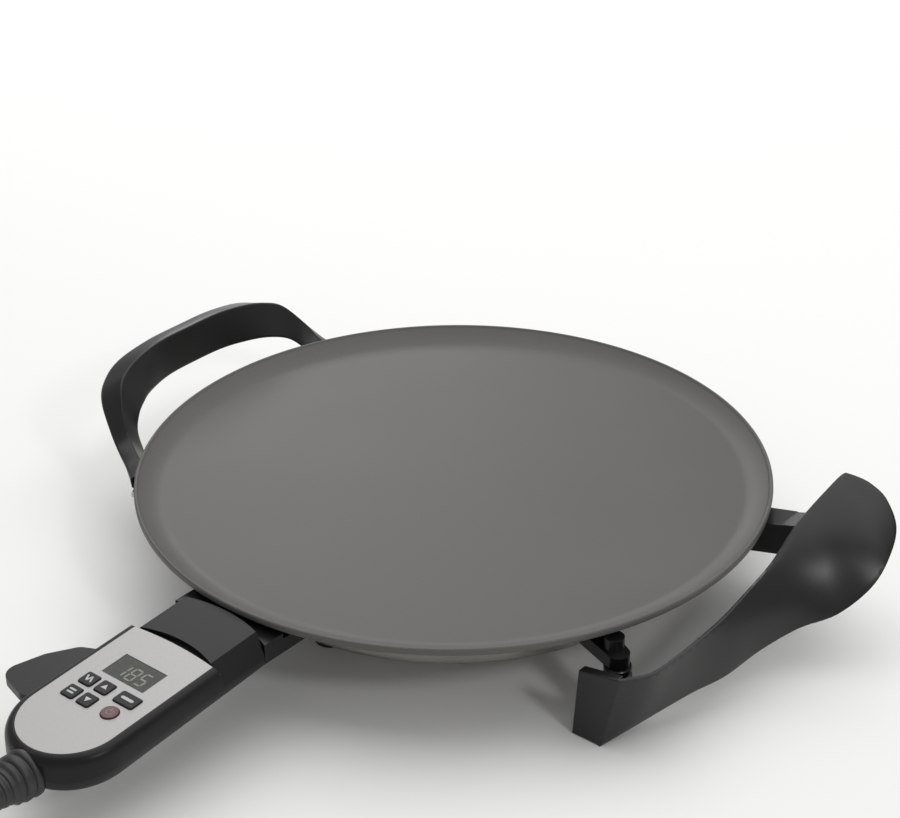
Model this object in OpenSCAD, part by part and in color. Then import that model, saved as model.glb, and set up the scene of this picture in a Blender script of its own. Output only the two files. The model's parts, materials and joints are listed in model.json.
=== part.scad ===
// Round electric griddle with a plug-in temperature controller.
// The origin is the centre of the cooking surface, +Z up. The controller points along -Y,
// the leg handle is on the +X side and the loop handle on the -X side.

/* [Plate] */
// Diameter over the rim of the cooking plate
plate_d = 380; // [340:5:460]
// Thickness of the cooking plate
plate_t = 4; // [3:0.5:6]
// Width of the sloping lip inside the rim
lip_w = 15; // [10:1:20]
// Height of the rim above the cooking surface
lip_h = 7; // [4:0.5:8]
// Height of the cooking surface above the table
cook_h = 58; // [52:1:72]

/* [Base pan] */
// Diameter of the steel base pan
pan_d = 294; // [270:2:320]
// Height of the base pan under the plate
pan_h = 32; // [26:1:36]
// Thickness of the pan's steel sheet
sheet_t = 0.8; // [0.6:0.1:1.2]
// Distance of the feet from the plate's axis
foot_place_r = 112; // [95:1:120]
// Radius of each foot where it meets the pan
foot_r = 12; // [9:0.5:15]
// Thickness of the soft pad under each foot
pad_t = 3; // [2:0.5:5]

/* [Heater] */
// Radius of the heating ring
ring_r = 105; // [85:1:125]
// Radius of the heating tube
tube_r = 4; // [3:0.25:4.5]
// Distance between the two terminal pins
pin_gap = 28; // [26:1:34]
// Radius of a terminal pin
pin_r = 2.3; // [1.5:0.1:2.5]
// Number of clamps that hold the heating tube to the plate
clamp_n = 5; // [3:1:8]

/* [Handles] */
// Thickness of the leg handle's wall
leg_wall = 7; // [5:0.5:9]
// Gap between the plate's rim and the inner face of the loop handle
loop_gap = 30; // [20:1:40]
// Width of the loop handle's grip, measured outwards
grip_w = 13; // [10:0.5:16]
// Height of the loop handle's grip
grip_h = 25; // [20:1:30]
// Radius of the handle screws' heads
screw_head_r = 4; // [3:0.5:5]

/* [Controller] */
// Width of the controller's body
ctrl_w = 71; // [66:1:80]
// Length of the controller from its front to the centre of its round end
ctrl_len = 109; // [100:1:120]
// Wall of the controller's housing
ctrl_wall = 2.4; // [1.8:0.2:3]
// Width of the front panel
panel_w = 59; // [56:1:62]
// Thickness of the front panel
panel_t = 1.2; // [0.8:0.1:1.6]
// Slope of the controller's face, in degrees
face_tilt = 3.4; // [0:0.2:4]
// Gap between the plate's rim and the controller
rim_gap = 2; // [1.5:0.5:6]

/* [Display and keys] */
// Length of the display across the panel
lcd_w = 31; // [24:1:36]
// Width of the display along the panel
lcd_h = 17.8; // [14:0.2:20]
// Side of a small key
key_w = 9; // [7:0.5:9.5]
// Length of the wide key
wide_key_w = 14; // [10:0.5:15]
// Radius of the round power key
power_r = 4.9; // [3.5:0.1:5.5]
// Clearance all round a key in the panel
key_clear = 0.35; // [0.3:0.05:0.6]
// How far a key stands above the panel
key_proud = 0.9; // [0.6:0.1:1.5]
// Travel of a key
key_travel = 0.5; // [0.3:0.1:0.6]

/* [Release lever] */
// Thickness of the release lever
lever_t = 5; // [4:0.25:5]
// Radius of the lever's pin
lever_pin_r = 1.5; // [1:0.1:1.8]
// Clearance of the lever on its pin and in its pocket
lever_clear = 0.4; // [0.35:0.05:0.6]

/* [Cord] */
// Diameter of the cord
cord_d = 7; // [6:0.5:8]
// Length of the strain relief
relief_l = 53; // [40:1:60]
// Radius of the strain relief where it leaves the housing
relief_r = 13.5; // [11:0.5:15]
// Thickness of the plug's blades
blade_t = 1.5; // [1.2:0.1:2]

/* [Hidden] */

$fn = 64;
eps = 0.01;
plate_r = plate_d / 2;
pan_r = pan_d / 2;
table_z = -cook_h;
under_z = -plate_t;
pan_z = under_z - pan_h;

// The sockets, pins and sensor share one height under the plate
sleeve_wall = 1.1;
rod_r = 3.2;
rod_clear = 0.4;
sleeve_r = rod_r + rod_clear + sleeve_wall;
port_z = under_z - sleeve_r;
tunnel_w = 50;
tunnel_h = 10;
guard_wall = 3;
guard_w = 68;
guard_gap = 1.2;
guard_edge = 4;
guard_core_w = 4;
carrier_clear = 0.5;
carrier_w = tunnel_w - 2 * carrier_clear;
carrier_h = tunnel_h - 2 * carrier_clear;
carrier_front = -pan_r - 9;
// Outer radius of the contact tubes
tube_out_r = 3.6;
pin_end = -pan_r - 34;
block_t = 6;
block_y = -pan_r + 5;
stud_r = 3;
shield_z = pan_z + 9;
shield_post_r = 60;

// The controller's face: a sloping plane through the top edge of the front panel
ctrl_r = plate_r + rim_gap;
ctrl_hw = ctrl_w / 2;
face_y = -plate_r - 41;
face_z = 2;
end_y = -ctrl_r - ctrl_len;
split_depth = 10.5;
base_front_z = -15;
base_tilt = 4.4;
panel_r = panel_w / 2;
panel_end = end_y - face_y;
panel_ledge = 3;
front_arc_r = 90;
shoulder_drop = 3;
shoulder_w = ctrl_hw - panel_r - 1;
shoulder_h = 7;
belly_w = 6;
belly_h = 8;
hood_hw = 26.5;
flank_drop = 10;
hood_gap = 1.5;
board_depth = 8;
board_w = 40;
board_t = 1.6;
relay_h = 6.5;

// Places of the display and the keys on the face, from the panel's top edge
lcd_y = -27.8;
row_a = -45.4;
row_b = -57.6;
col_a = -15;
col_b = -3.2;
col_c = 13.7;
key_h = panel_t + key_proud;

// Release lever
lever_pin_at = [-ctrl_hw + 6.5, face_y - 12];
lever_z = -16.5;
lever_reach = 64;

// Strain relief and cord, on the plate's -Y side
relief_y = end_y - ctrl_hw + 4.5;
relief_z = -18;
cord_r = cord_d / 2;
coil_at = [-42, -488];
coil_in = 31.5;
coil_out = 45.5;
coil_h = 14;
lead_points = [
    [0, -385, -18], [0, -393, -18], [0, -401, -18.5], [0, -410, -20.5], [0, -418, -25], [0, -426, -31.5],
    [0, -434, -39.5], [0, -442, -46.5], [0, -451, -51.5], [0, -461, -54], [0, -471, -54.5], [0, -480, -54.5]
];
tail_points = [[-80.5, -474, -47.5], [-80.5, -466, -47.5], [-80.5, -458, -48.6], [-80.5, -450, -49.5]];
plug_at = [-80.5, -450, -49.5];
plug_neck = 16;
plug_w = 26;
plug_h = 17;
plug_l = 30;
blade_l = 17;
blade_w = 6.4;
blade_gap = 12.7;

// Stations of the leg handle from the foot to the tip: top edge, lower edge, bulge of the outer face.
// X is counted from the plate's rim, Z from the cooking surface.
leg_stations = [
    [[3, -97, -8], [-10, -95, -58], 0],
    [[13, -82, -8], [-2, -79, -52], 1.5],
    [[15, -62, -8], [6, -62, -46], 2],
    [[15, -40, -7.5], [13, -42, -42], 2.5],
    [[15, -18, -6], [20, -20, -40], 3],
    [[15, 5, -1], [25.5, 4.5, -34.5], 3.5],
    [[15, 30, 6], [35, 29, -28.5], 4],
    [[14, 55, 18], [49.5, 45.5, -21.5], 4],
    [[14, 72, 24], [60, 62, -8], 4],
    [[15, 85, 28.5], [61, 78, 4], 3.5],
    [[15.5, 94, 31], [55, 95, 14], 2.5],
    [[16, 99, 32], [42, 104, 24], 1.5],
    [[17, 101, 32.5], [30, 105.5, 29], 0.6]
];

// Stations of half the loop handle from its middle to its end: the inner top, inner bottom, outer bottom
// and outer top corner of its section. X is counted outwards from the grip's inner face, then Y and Z.
loop_stations = [
    [[3, 0, 31], [0, 0, 6], [11, 0, 4], [16.5, 0, 28]],
    [[2.5, 25, 31], [-2, 25, 6.5], [10, 26, 4], [16.5, 27, 27.5]],
    [[-0.5, 45, 30], [-8, 46, 6], [6, 50, 3], [16, 54, 23.5]],
    [[-4, 61, 27], [-14, 58, 5], [-1, 66, 1], [11, 71, 17.5]],
    [[-10, 73, 22], [-19.5, 68, 1.5], [-11, 78, -3], [1, 83, 11.5]],
    [[-21, 83, 8], [-25, 75, -6], [-24, 88, -10], [-16, 92, 0]],
    [[-32, 88, -4], [-36, 80, -15.8], [-36, 94, -16], [-30, 98, -8.5]],
    [[-48, 96, -7.5], [-50, 88, -16], [-49, 106, -16], [-47, 107, -8.5]],
    [[-62, 103, -7.5], [-64, 95, -16], [-61, 115, -16], [-60, 115, -8]]
];
// Width and height of the grip that the stations are written for
loop_ref_w = 13;
loop_ref_h = 25;
// Share of each side that the rounding of the four corners takes
corner_cut = [0.1, 0.12, 0.3, 0.22];
corner_steps = 4;

// ---------- helpers ----------

// Height of a point of the leg handle: the foot stretches down to the table, the rest follows the plate
knee_z = -13;
foot_stretch = (cook_h + knee_z) / (58 + knee_z);
function stand(z) = z >= knee_z ? z : knee_z + (z - knee_z) * foot_stretch;

// Smooth curve through four neighbouring values
function blend(a, b, c, d, t) =
    0.5 * (2 * b + (c - a) * t + (2 * a - 5 * b + 4 * c - d) * t * t
    + (3 * b - a - 3 * c + d) * t * t * t);

function at(list, i) = list[max(0, min(len(list) - 1, i))];

// A list of stations with steps more between each pair
function smooth(list, steps) = [
    for (i = [0:len(list) - 2])
        for (k = [0:steps - 1 + (i == len(list) - 2 ? 1 : 0)])
            blend(at(list, i - 1), at(list, i), at(list, i + 1), at(list, i + 2), k / steps)
];

// A solid through closed rings of equal length; point k of a ring faces point n - 1 - k across it
module loft(rings) {
    n = len(rings[0]);
    last = len(rings) - 1;
    sides = [
        for (i = [0:last - 1])
            for (k = [0:n - 1])
                for (half = [0, 1])
                    half == 0
                    ? [i * n + k, (i + 1) * n + k, i * n + (k + 1) % n]
                    : [i * n + (k + 1) % n, (i + 1) * n + k, (i + 1) * n + (k + 1) % n]
    ];
    caps = [
        for (k = [0:n / 2 - 2])
            for (tri = [[k, k + 1, n - 1 - k], [k + 1, n - 2 - k, n - 1 - k]])
                for (end = [0, 1])
                    end == 0 ? tri : [for (j = [2:-1:0]) last * n + tri[j]]
    ];
    polyhedron([for (ring = rings) for (p = ring) p], concat(caps, sides), convexity = 10);
}

function unit(v) = v / norm(v);

// A round tube swept along points, with its rings square to the path
module tube_along(points, radius, sides) {
    last = len(points) - 1;
    loft([
        for (i = [0:last])
            let (
                along = unit(points[min(last, i + 1)] - points[max(0, i - 1)]),
                side = unit(cross(along, abs(along[2]) > 0.95 ? [1, 0, 0] : [0, 0, 1])),
                up = cross(side, along)
            )
            [
                for (k = [0:sides - 1])
                    let (a = 360 * k / sides)
                    points[i] + radius * (cos(a) * side + sin(a) * up)
            ]
    ]);
}

module on_face() {
    translate([0, face_y, face_z]) rotate([face_tilt, 0, 0]) children();
}

module round_rect(w, h, r) {
    hull()
        for (x = [-1, 1], y = [-1, 1])
            translate([x * (w / 2 - r), y * (h / 2 - r)]) circle(r, $fn = 32);
}

// ---------- plate and base ----------

module griddle_plate() {
    color("#4b4a48")
    rotate_extrude($fn = 180)
        polygon([
            [0, under_z], [plate_r - lip_w - 3, under_z], [plate_r - 2.6, under_z + lip_h - 1],
            [plate_r - 0.8, under_z + lip_h - 0.4], [plate_r, lip_h - 3.2], [plate_r, lip_h - 0.8],
            [plate_r - 0.6, lip_h], [plate_r - 1.8, lip_h], [plate_r - 2.8, lip_h - 0.6],
            [plate_r - lip_w * 0.45, lip_h * 0.42], [plate_r - lip_w * 0.8, lip_h * 0.1],
            [plate_r - lip_w - 2, 0], [0, 0]
        ]);
}

module base_pan() {
    color("#b9b6b0")
    difference() {
        rotate_extrude($fn = 180)
            polygon([
                [0, pan_z], [pan_r - 7, pan_z], [pan_r - 3, pan_z + 1.5], [pan_r - 1.5, pan_z + 5],
                [pan_r, under_z - sheet_t], [pan_r + 5, under_z - sheet_t], [pan_r + 5, under_z],
                [pan_r - sheet_t, under_z], [pan_r - 1.5 - sheet_t, pan_z + 5.4],
                [pan_r - 3.6, pan_z + 2.2], [pan_r - 7.2, pan_z + sheet_t], [0, pan_z + sheet_t]
            ]);
        translate([-tunnel_w / 2, -pan_r - 8, port_z - tunnel_h / 2])
            cube([tunnel_w, 20, tunnel_h]);
        translate([0, 0, pan_z - 1]) cylinder(r = stud_r + 0.3, h = 4);
        for (a = [0:90:270])
            rotate(a) translate([foot_place_r, 0, pan_z - 1]) cylinder(r = 2.2, h = 4);
    }
}

module heating_ring() {
    ring_z = under_z - tube_r;
    open_a = asin(pin_gap / 2 / ring_r);
    color("#7d7a75") {
        rotate(-90 + open_a)
            rotate_extrude(angle = 360 - 2 * open_a, $fn = 180)
                translate([ring_r, ring_z]) circle(tube_r, $fn = 48);
        for (side = [-1, 1])
            translate([side * pin_gap / 2, block_y + block_t, ring_z]) rotate([-90, 0, 0])
                cylinder(r = tube_r, h = -block_y - block_t - ring_r * cos(open_a) + 1);
    }
}

clamp_l = 26;
clamp_wide = 12;
clamp_h = 2 * tube_r + 2;

module element_clamps() {
    color("#a8a59f")
    for (i = [0:clamp_n - 1])
        rotate(-90 + 360 * (i + 0.5) / clamp_n)
            difference() {
                translate([ring_r - clamp_l / 2, -clamp_wide / 2, under_z - clamp_h])
                    cube([clamp_l, clamp_wide, clamp_h]);
                rotate(-10)
                    rotate_extrude(angle = 20, $fn = 180)
                        translate([ring_r - tube_r - 0.2, under_z - 2 * tube_r - 0.2])
                            square([2 * tube_r + 0.4, 2 * tube_r + 1]);
            }
}

module clamp_screws() {
    color("#8f8d88")
    for (i = [0:clamp_n - 1], side = [-1, 1])
        rotate(-90 + 360 * (i + 0.5) / clamp_n)
            translate([ring_r + side * (clamp_l / 2 - 3.8), 0, under_z - clamp_h]) mirror([0, 0, 1])
                cylinder(r = 3, h = 2);
}

module centre_stud() {
    color("#9a9893")
    union() {
        translate([0, 0, under_z - 4]) cylinder(r = 9, h = 4);
        translate([0, 0, pan_z - 7]) cylinder(r = stud_r, h = pan_h + 7);
    }
}

module centre_nut() {
    color("#8f8d88")
    translate([0, 0, pan_z - 5])
        difference() {
            cylinder(r = 6, h = 5, $fn = 6);
            translate([0, 0, -1]) cylinder(r = stud_r, h = 7);
        }
}

module heat_shield() {
    post_z = pan_z + sheet_t;
    color("#c9c7c2") {
        difference() {
            translate([0, 0, shield_z]) cylinder(r = pan_r - 8, h = 0.6, $fn = 180);
            translate([0, 0, shield_z - 1]) cylinder(r = 5, h = 3);
            for (a = [0:90:270])
                rotate(a) translate([foot_place_r, 0, shield_z - 1]) cylinder(r = 4, h = 3);
        }
        for (a = [45:90:315])
            rotate(a) translate([shield_post_r, 0, post_z]) cylinder(r = 4, h = shield_z - post_z);
    }
}

module terminal_block() {
    color("#e4ddcf")
    difference() {
        translate([-tunnel_w / 2 - 4, block_y, port_z - tunnel_h / 2 - 3])
            cube([tunnel_w + 8, block_t, tunnel_h / 2 + sleeve_r + 3]);
        for (side = [-1, 1])
            translate([side * pin_gap / 2, -pan_r, port_z]) rotate([-90, 0, 0])
                cylinder(r = pin_r, h = block_t * 2);
        translate([0, -pan_r, port_z]) rotate([-90, 0, 0]) cylinder(r = sleeve_r + 0.3, h = block_t * 2);
        translate([-sleeve_r - 0.3, -pan_r, port_z]) cube([2 * sleeve_r + 0.6, block_t * 2, 20]);
    }
}

module terminal_pins() {
    color("#c8b070")
    for (side = [-1, 1])
        translate([side * pin_gap / 2, pin_end, port_z]) rotate([-90, 0, 0])
            cylinder(r = pin_r, h = block_y + block_t - pin_end);
}

module sensor_sleeve() {
    sleeve_y = -pan_r - 4;
    sleeve_l = 58;
    color("#8c8a86")
    difference() {
        union() {
            translate([0, sleeve_y, port_z]) rotate([-90, 0, 0]) cylinder(r = sleeve_r, h = sleeve_l);
            translate([-sleeve_r, sleeve_y, port_z]) cube([2 * sleeve_r, sleeve_l, sleeve_r]);
        }
        translate([0, sleeve_y - 1, port_z]) rotate([-90, 0, 0])
            cylinder(r = rod_r + rod_clear, h = sleeve_l - 3);
    }
}

// Black shroud round the pins, from the pan's wall to the controller's curved front
module socket_guard() {
    outer_h = tunnel_h + 2 * guard_wall;
    bottom = port_z - outer_h / 2;
    color("#2b2b2b")
    difference() {
        translate([0, 8 - pan_r, bottom]) rotate([90, 0, 0]) linear_extrude(ctrl_r + 16 - pan_r)
            polygon([
                [-guard_w / 2, outer_h], [-guard_w / 2, guard_edge], [guard_edge - guard_w / 2, 0],
                [guard_w / 2 - guard_edge, 0], [guard_w / 2, guard_edge], [guard_w / 2, outer_h]
            ]);
        translate([0, -ctrl_r - front_arc_r, bottom - 1])
            cylinder(r = front_arc_r + guard_gap, h = outer_h + 2, $fn = 180);
        translate([0, 0, port_z - 31]) cylinder(r = pan_r + 0.2, h = 62, $fn = 180);
        translate([-tunnel_w / 2, -ctrl_r - 10, port_z - tunnel_h / 2])
            cube([tunnel_w, ctrl_r + 30 - pan_r, tunnel_h]);
        translate([0, 0, under_z - 2 * sheet_t]) cylinder(r = pan_r + 6, h = 20, $fn = 180);
        translate([-guard_w / 2 - 1, -plate_r + 7, under_z]) cube([guard_w + 2, plate_r + 10 - pan_r, 20]);
        // the thick sides are cored from below
        for (side = [-1, 1])
            translate([side * (guard_w + tunnel_w) / 4 - guard_core_w / 2, -plate_r + 4, bottom - 1])
                cube([guard_core_w, plate_r - pan_r - 8, outer_h - guard_wall + 1]);
    }
}

module guard_screws() {
    color("#8f8d88")
    for (side = [-1, 1])
        translate([side * 16, -pan_r - 20, port_z - tunnel_h / 2 - guard_wall]) mirror([0, 0, 1])
            cylinder(r = 3.2, h = 1.8);
}

module pan_feet() {
    foot_h = pan_z - table_z - pad_t;
    color("#232323")
    for (a = [0:90:270])
        rotate(a)
            translate([foot_place_r, 0, table_z + pad_t])
                difference() {
                    cylinder(r1 = foot_r - 3, r2 = foot_r, h = foot_h);
                    translate([0, 0, -1]) cylinder(r = 2.2, h = foot_h + 2);
                    translate([0, 0, -1]) cylinder(r = 5, h = foot_h - 4);
                }
}

module foot_pads() {
    color("#3a3a3a")
    for (a = [0:90:270])
        rotate(a) translate([foot_place_r, 0, table_z]) cylinder(r = foot_r - 3, h = pad_t);
}

module foot_screws() {
    color("#8f8d88")
    for (a = [0:90:270])
        rotate(a) translate([foot_place_r, 0, pan_z - 5]) {
            translate([0, 0, -2.4]) cylinder(r = screw_head_r, h = 2.4);
            cylinder(r = 2, h = 5 + sheet_t + 2);
            translate([0, 0, 5 + sheet_t]) cylinder(r = 3.6, h = 2.4, $fn = 6);
        }
}

// ---------- leg handle ----------

leg_side_n = 8;
// Share of the wall that is left at the top edge
leg_edge_share = 0.3;

// One ring of the leg handle: its outer face curves from the top edge to the lower edge
function leg_ring(s) =
    let (
        top = [plate_r + s[0][0], s[0][1], stand(s[0][2])],
        low = [plate_r + s[1][0], s[1][1], stand(s[1][2])],
        along = unit([low[0] - top[0], 0, low[2] - top[2]]),
        out = [-along[2], 0, along[0]],
        mid = (top + low) / 2 + 2 * s[2] * out,
        face = [
            for (k = [0:leg_side_n])
                let (t = k / leg_side_n)
                (1 - t) * (1 - t) * top + 2 * t * (1 - t) * mid + t * t * low
        ]
    )
    concat(face, [
        for (k = [leg_side_n:-1:0])
            face[k] - leg_wall * min(1, leg_edge_share + 2 * k / leg_side_n) * out
    ]);

boss_at = [plate_r - 14, -75];
boss_r = 8;
end_wall_t = 6;
floor_z = stand(-36);
floor_top_z = stand(-30);
arm_z = under_z - 5;
arm_t = 8;
arm_end_r = 6.5;
neck_at = [plate_r - 18, -73];
neck_r = 5.5;
neck_top_z = -1.5;

module leg_handle() {
    toe = leg_stations[0];
    toe_top = [plate_r + toe[0][0], toe[0][1], toe[0][2]];
    toe_low = [plate_r + toe[1][0], toe[1][1], stand(toe[1][2])];
    color("#2b2b2b")
    union() {
        loft([for (s = smooth(leg_stations, 4)) leg_ring(s)]);
        // end wall of the foot
        hull()
            for (y = [0, end_wall_t]) {
                translate([toe_low[0] - 19, toe_low[1] + y, toe_low[2]]) cube([17, eps, eps]);
                translate([toe_top[0] - 27, toe_top[1] + y, toe_top[2] - 5]) cube([eps, eps, eps]);
                translate([toe_top[0] - 2, toe_top[1] + y, toe_top[2] - eps]) cube([eps, eps, eps]);
            }
        // floor of the recess and the boss that takes the near arm's screw
        hull()
            for (z = [floor_z, floor_top_z]) {
                translate([plate_r - 26, -93, z]) cube([18, eps, eps]);
                translate([boss_at[0], boss_at[1], z]) cylinder(r = boss_r + 2, h = eps, $fn = 32);
                translate([plate_r + 2, -60, z]) cube([5, eps, eps]);
            }
        translate([boss_at[0], boss_at[1], floor_z])
            cylinder(r = boss_r, h = arm_z - arm_t - floor_z, $fn = 48);
    }
}

module leg_arm_near() {
    arm_a = atan2(boss_at[1], boss_at[0]);
    arm_w = 18;
    color("#262626")
    union() {
        difference() {
            hull() {
                rotate(arm_a) translate([pan_r, -arm_w / 2, arm_z - arm_t]) cube([2, arm_w, arm_t]);
                translate([boss_at[0], boss_at[1], arm_z - arm_t]) cylinder(r = arm_end_r, h = arm_t);
            }
            translate([0, 0, arm_z - 20]) cylinder(r = pan_r + 0.1, h = 40, $fn = 180);
        }
        // the neck rises to just below the plate
        translate([neck_at[0], neck_at[1], arm_z - 1]) cylinder(r = neck_r, h = neck_top_z - arm_z + 1);
    }
}

module leg_arm_far() {
    root_a = 30;
    tip = [plate_r + 4, 91];
    color("#262626")
    difference() {
        union() {
            hull() {
                rotate(root_a) translate([pan_r - 1, -11, -26]) cube([3, 22, 22 - plate_t]);
                translate([tip[0] - 16, tip[1] - 9, -24]) cube([3, 18, 20]);
            }
            hull() {
                translate([tip[0] - 14, tip[1] - 9, -24]) cube([3, 18, 20]);
                translate([tip[0] + 3, tip[1] - 11, -18]) cube([10, 20, 20]);
            }
            // the end rises to the inner face of the handle
            hull() {
                translate([tip[0] + 3, tip[1] - 11, -6]) cube([10, 20, 8]);
                for (i = [9, 10], k = [1, 2, 3])
                    translate(leg_ring(leg_stations[i])[2 * leg_side_n + 1 - k])
                        mirror([0, 0, 1]) cube([eps, eps, eps]);
            }
        }
        translate([0, 0, -60]) cylinder(r = pan_r + 0.1, h = 100, $fn = 180);
        translate([0, 0, under_z - sheet_t]) cylinder(r = pan_r + 5.2, h = 10, $fn = 180);
        translate([far_screw[0], far_screw[1], far_screw[2] - 40]) cylinder(r = screw_head_r + 0.4, h = 40);
    }
}

far_screw = [plate_r - 4, 91, -19];

module leg_handle_screws() {
    color("#8f8d88") {
        translate([boss_at[0], boss_at[1], floor_z - 2]) cylinder(r = screw_head_r, h = 2);
        translate(far_screw) mirror([0, 0, 1]) cylinder(r = screw_head_r, h = 2.2);
    }
}

// ---------- loop handle ----------

loop_x = plate_r + loop_gap;

// The four corners of a station for the grip's own width and height, on the side given
function loop_corners(s, side) =
    let (
        rise = [0, 0, (s[0][2] - s[1][2]) * (grip_h / loop_ref_h - 1)],
        spread = grip_w / loop_ref_w,
        list = [s[0] + rise, s[1], s[1] + (s[2] - s[1]) * spread, s[0] + rise + (s[3] - s[0]) * spread]
    )
    [for (p = list) [-loop_x - p[0], side * p[1], p[2]]];

loop_last = len(loop_stations) - 1;
loop_path = smooth(concat(
    [for (i = [loop_last:-1:1]) loop_corners(loop_stations[i], -1)],
    [for (s = loop_stations) loop_corners(s, 1)]
), 3);

// One ring of the loop handle: four corners, each rounded off
function loop_ring(s) =
    [
        for (c = [0:3])
            let (
                from = s[c] + (s[(c + 3) % 4] - s[c]) * corner_cut[c],
                to = s[c] + (s[(c + 1) % 4] - s[c]) * corner_cut[c]
            )
            for (k = [0:corner_steps])
                let (t = k / corner_steps)
                (1 - t) * (1 - t) * from + 2 * t * (1 - t) * s[c] + t * t * to
    ];

module loop_handle() {
    color("#2b2b2b")
    loft([for (s = loop_path) loop_ring(s)]);
}

loop_end = loop_corners(loop_stations[loop_last], 1);
loop_end_mid = (loop_end[0] + loop_end[1] + loop_end[2] + loop_end[3]) / 4;
loop_end_z = loop_end[1][2];
bracket_a = atan2(loop_end_mid[1], -loop_end_mid[0]);
bracket_reach = norm([loop_end_mid[0], loop_end_mid[1]]);
bracket_t = 3;
bracket_w = 20;
bracket_leg = 16;

module loop_brackets() {
    color("#9d9a94")
    for (side = [-1, 1])
        rotate(180 + side * bracket_a) {
            translate([pan_r + 0.2, -bracket_w / 2, loop_end_z - bracket_t])
                cube([bracket_reach - pan_r + 5, bracket_w, bracket_t]);
            translate([pan_r + 0.2, -bracket_w / 2, loop_end_z - bracket_leg])
                cube([bracket_t, bracket_w, bracket_leg]);
        }
}

module loop_handle_screws() {
    color("#8f8d88")
    for (side = [-1, 1])
        rotate(180 + side * bracket_a)
            translate([bracket_reach - 2, 0, loop_end_z - bracket_t]) mirror([0, 0, 1])
                cylinder(r = screw_head_r, h = 2.2);
}

// ---------- controller ----------

// Plan of the controller's body: straight sides and a half-round end
module ctrl_plan(inset) {
    translate([0, end_y]) circle(ctrl_hw - inset, $fn = 64);
    translate([-ctrl_hw + inset, end_y]) square([ctrl_w - 2 * inset, -end_y - plate_r + 6]);
}

// The solid form of the body, drawn in by a wall's thickness when it is cut out of itself
module ctrl_form(inset) {
    intersection() {
        hull() {
            for (t = [0:22.5:90])
                on_face() translate([0, -face_y, -shoulder_h * (1 - sin(t)) - inset * sin(t)])
                    linear_extrude(eps) ctrl_plan(shoulder_w * (1 - cos(t)) + inset);
            for (t = [0:30:90])
                translate([0, -ctrl_r, base_front_z + belly_h * (1 - sin(t)) + inset * sin(t)])
                    rotate([base_tilt, 0, 0]) translate([0, ctrl_r, 0])
                        linear_extrude(eps) ctrl_plan(belly_w * (1 - cos(t)) + inset);
        }
        union() {
            translate([0, -ctrl_r - front_arc_r, -60]) cylinder(r = front_arc_r - inset, h = 120, $fn = 180);
            translate([-80, -ctrl_r - front_arc_r - 100, -60]) cube([160, 100, 120]);
        }
    }
}

module above_split(gap) {
    on_face() translate([-80, -150, -split_depth + gap]) cube([160, 240, 80]);
}

module carrier_hole(clear) {
    translate([-carrier_w / 2 - clear, -ctrl_r - 8, port_z - carrier_h / 2 - clear])
        cube([carrier_w + 2 * clear, 40, carrier_h + 2 * clear]);
}

module relief_hole() {
    translate([0, relief_y, relief_z]) rotate([90, 0, 0]) cylinder(r = relief_r, h = 60);
}

module panel_plan(grow) {
    top_arc = 2;
    arc_r = (panel_r * panel_r + top_arc * top_arc) / (2 * top_arc);
    intersection() {
        union() {
            translate([0, panel_end]) circle(panel_r + grow, $fn = 64);
            translate([-panel_r - grow, panel_end]) square([panel_w + 2 * grow, 20 - panel_end]);
        }
        translate([0, top_arc - arc_r]) circle(arc_r + grow, $fn = 128);
    }
}

// Positions and outlines of the keys
module key_plan(name, grow) {
    side = key_w + 2 * grow;
    corner = 1.4 + grow;
    if (name == "up") translate([col_b, row_a]) round_rect(side, side, corner);
    if (name == "down") translate([col_b, row_b]) round_rect(side, side, corner);
    if (name == "mode") translate([col_a, row_a]) round_rect(side, side, corner);
    if (name == "set") translate([col_a, row_b]) round_rect(side, side, corner);
    if (name == "timer") translate([col_c, row_a]) round_rect(wide_key_w + 2 * grow, side, corner);
    if (name == "power") translate([col_c, row_b]) circle(power_r + grow);
}

key_names = ["up", "down", "mode", "set", "timer", "power"];

module key_solid(name) {
    on_face() {
        translate([0, 0, -panel_t - 2.6]) linear_extrude(key_h + 2.6) key_plan(name, 0);
    }
}

// Plan of the recess between the panel and the raised hood behind it
module crescent_plan() {
    hood_dip = 5;
    arc_r = (hood_hw * hood_hw + hood_dip * hood_dip) / (2 * hood_dip);
    intersection() {
        translate([-ctrl_hw, 0]) square([ctrl_w, 20]);
        union() {
            translate([-ctrl_hw, -1]) square([ctrl_w, 1 + hood_gap]);
            translate([0, hood_gap + hood_dip - arc_r]) circle(arc_r, $fn = 128);
        }
    }
}

// Sloping cuts that take the shoulders off the hood, drawn in by a wall's thickness inside
module hood_flanks(inset) {
    slope = flank_drop / (ctrl_hw - hood_hw);
    edge = hood_hw - inset * norm([1, slope]) / slope;
    reach = ctrl_hw + 20;
    on_face()
        for (side = [0, 1])
            mirror([side, 0, 0]) translate([0, 80, 0]) rotate([90, 0, 0])
                linear_extrude(80 - hood_gap / 2 + inset)
                polygon([[edge, 0], [reach, -slope * (reach - edge)], [reach, 10], [edge, 10]]);
}

module controller_cover() {
    color("#2d2d2d")
    difference() {
        intersection() {
            ctrl_form(0);
            above_split(0);
        }
        difference() {
            ctrl_form(ctrl_wall);
            on_face() translate([-40, -2, -shoulder_drop - ctrl_wall]) cube([80, 70, 20]);
            hood_flanks(ctrl_wall);
        }
        hood_flanks(0);
        on_face() translate([0, 0, -shoulder_drop]) linear_extrude(20) crescent_plan();
        carrier_hole(0);
        lever_pocket(0);
        relief_hole();
        on_face() translate([0, 0, -panel_t]) linear_extrude(20) panel_plan(0.1);
        on_face() translate([0, 0, -10]) linear_extrude(12) panel_plan(-panel_ledge);
    }
}

lever_pocket_z = lever_z - lever_clear;
lever_pocket_h = lever_t + 2 * lever_clear;

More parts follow.
